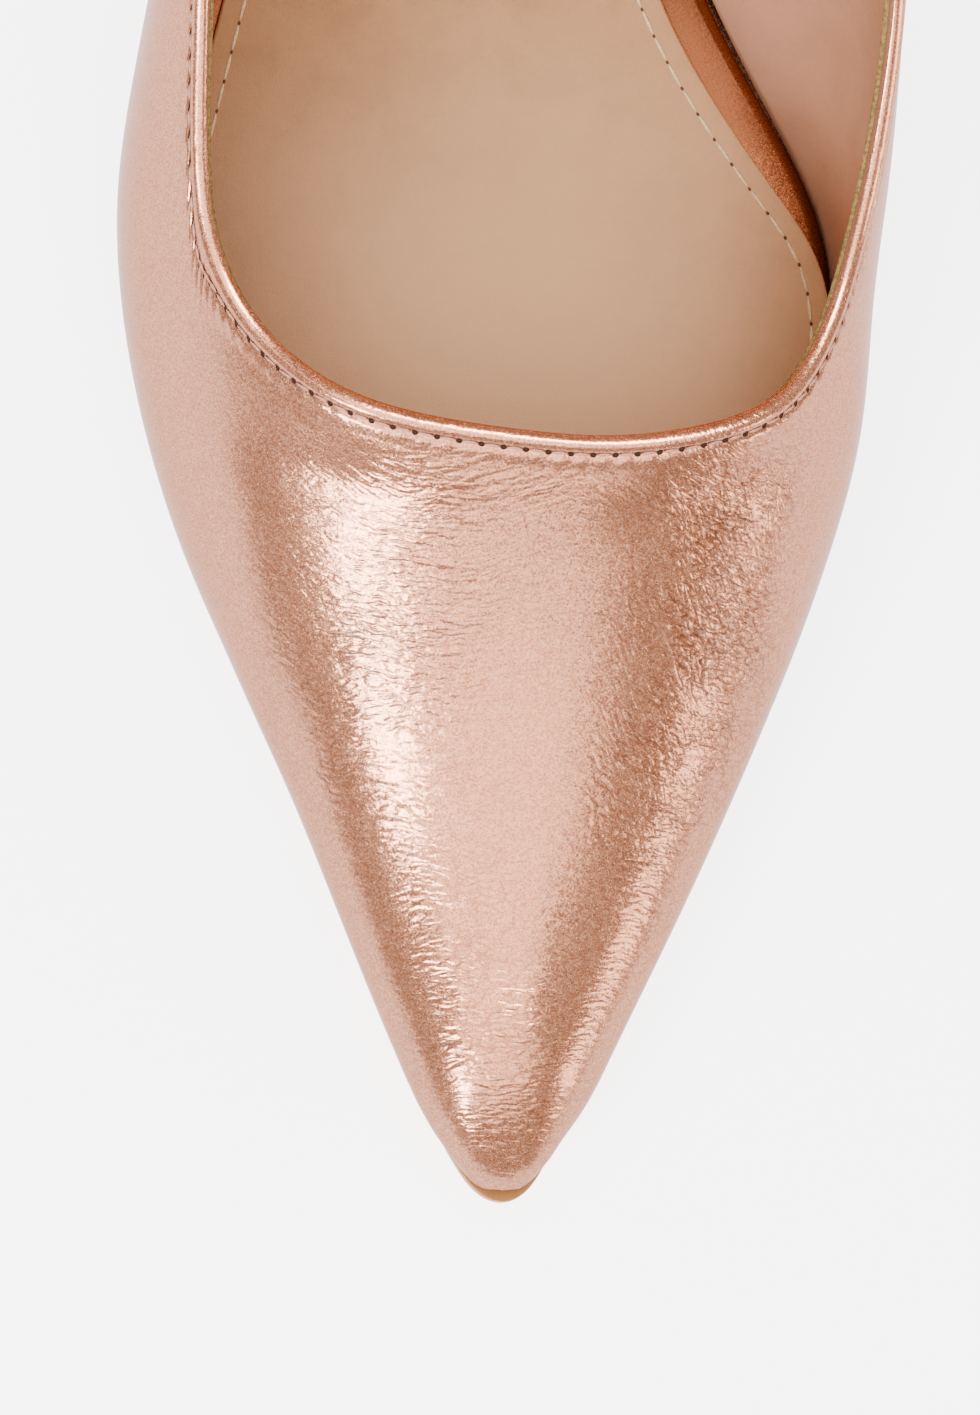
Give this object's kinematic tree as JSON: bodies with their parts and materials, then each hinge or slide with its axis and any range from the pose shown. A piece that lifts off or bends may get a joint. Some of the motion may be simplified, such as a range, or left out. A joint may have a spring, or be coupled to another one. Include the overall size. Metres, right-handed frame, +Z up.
{
  "type": "slingback stiletto",
  "caption": "Pointed slingback court shoe on a slim stiletto heel, in crinkled rose-gold leather, with a tan sock, a buckled heel strap and winged quarters.",
  "frame": {"origin": "on the ground, at the middle of the shoe's plan", "axes": "+Z up from the ground, +Y from the toe to the heel, +X to the inner (medial) side of the foot"},
  "size_m": [0.0798, 0.2388, 0.1242],
  "materials": {
    "rose_gold_leather": "metallic, finely crinkled",
    "tan_sole": "smooth, waxed",
    "tan_lining": "matte",
    "dark_top_piece": "satin",
    "pale_gold_metal": "polished, pale gold plate"
  },
  "bodies": {
    "root": {"upper": "rose_gold_leather", "outsole": "tan_sole", "insole": "rose_gold_leather", "sock": "tan_lining", "heel": "rose_gold_leather", "heel_tip": "dark_top_piece", "sling_strap": "rose_gold_leather", "buckle_tab": "rose_gold_leather", "strap_keeper": "rose_gold_leather", "buckle_frame": "pale_gold_metal", "buckle_prong": "pale_gold_metal"}
  },
  "joints": []
}
